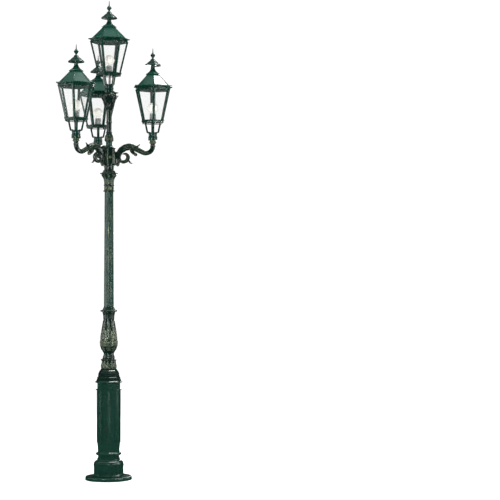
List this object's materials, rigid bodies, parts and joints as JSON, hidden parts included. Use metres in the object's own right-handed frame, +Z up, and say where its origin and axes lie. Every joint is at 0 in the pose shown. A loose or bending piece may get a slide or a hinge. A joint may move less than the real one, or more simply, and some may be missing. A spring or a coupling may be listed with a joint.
{
  "type": "garden lamp post",
  "caption": "Cast lamp post with hexagonal glazed lanterns on scrolled arms and on a central stem, hinged lantern roofs and an octagonal base with a service door.",
  "frame": {"origin": "on the ground, on the post's axis, in the underside of the foundation flange", "axes": "+Z up along the post; -Y is the way the service door faces"},
  "size_m": [1.008, 1.0694, 4.304],
  "materials": {
    "green_paint": "semi-gloss dark green paint on cast metal",
    "gilded_paint": "dark green paint with gold brushed over the raised ornament",
    "gilded_casting": "old-gold paint",
    "clear_glass": "clear, polished",
    "frosted_globe": "frosted white",
    "lamp_holder": "satin grey",
    "plated_fastener": "zinc plated",
    "terminal_box": "moulded grey plastic"
  },
  "bodies": {
    "post": {"foundation_flange": "green_paint", "base_plinth": "green_paint", "base_column": "green_paint", "door_hinge_pins": "plated_fastener", "terminal_box": "terminal_box", "column_cornice": "green_paint", "leaf_cone": "gilded_paint", "baluster": "gilded_paint", "fluted_shaft": "gilded_paint", "capital": "gilded_paint", "capital_rosettes": "gilded_casting", "arm_hub": "gilded_paint", "hub_rosettes": "gilded_casting", "arm_bolts": "gilded_paint", "arm_right": "gilded_paint", "arm_left": "gilded_paint", "arm_back": "gilded_paint", "hub_cap": "green_paint", "top_stem": "gilded_paint", "stem_capital": "gilded_paint", "set_screws": "plated_fastener", "roof_hinge_pins": "plated_fastener", "bracket_right": "green_paint", "gallery_right": "green_paint", "frame_right": "green_paint", "panes_right": "clear_glass", "lamp_holder_right": "lamp_holder", "bulb_right": "frosted_globe", "bracket_left": "green_paint", "gallery_left": "green_paint", "frame_left": "green_paint", "panes_left": "clear_glass", "lamp_holder_left": "lamp_holder", "bulb_left": "frosted_globe", "bracket_back": "green_paint", "gallery_back": "green_paint", "frame_back": "green_paint", "panes_back": "clear_glass", "lamp_holder_back": "lamp_holder", "bulb_back": "frosted_globe", "bracket_top": "green_paint", "gallery_top": "green_paint", "frame_top": "green_paint", "panes_top": "clear_glass", "lamp_holder_top": "lamp_holder", "bulb_top": "frosted_globe"},
    "door": {"service_door": "green_paint"},
    "lock": {"door_lock": "plated_fastener"},
    "roof_right": {"roof_right": "green_paint", "hat_right": "green_paint", "finial_right": "green_paint"},
    "roof_left": {"roof_left": "green_paint", "hat_left": "green_paint", "finial_left": "green_paint"},
    "roof_back": {"roof_back": "green_paint", "hat_back": "green_paint", "finial_back": "green_paint"},
    "roof_top": {"roof_top": "green_paint", "hat_top": "green_paint", "finial_top": "green_paint"}
  },
  "joints": [
    {"name": "door_hinge", "type": "hinge", "parent": "post", "child": "door", "pos_m": [-0.0335, -0.09989, 0.596], "axis": [0, 0, -1], "range_deg": [0, 110]},
    {"name": "lock_turn", "type": "hinge", "parent": "door", "child": "lock", "pos_m": [0.0115, -0.09439, 0.462], "axis": [0, 1, 0], "range_deg": [0, 90]},
    {"name": "roof_hinge_right", "type": "hinge", "parent": "post", "child": "roof_right", "pos_m": [0.55555, 0.12261, 3.51902], "axis": [-0.4305, 0.9026, 0], "range_deg": [0, 75]},
    {"name": "roof_hinge_left", "type": "hinge", "parent": "post", "child": "roof_left", "pos_m": [-0.20372, -0.53676, 3.51902], "axis": [0.9636, -0.2672, 0], "range_deg": [0, 75]},
    {"name": "roof_hinge_back", "type": "hinge", "parent": "post", "child": "roof_back", "pos_m": [-0.31429, 0.47827, 3.51902], "axis": [-0.91, -0.4147, 0], "range_deg": [0, 75]},
    {"name": "roof_hinge_top", "type": "hinge", "parent": "post", "child": "roof_top", "pos_m": [-0.07988, 0.15023, 3.956], "axis": [-0.8829, -0.4695, 0], "range_deg": [0, 75]}
  ]
}
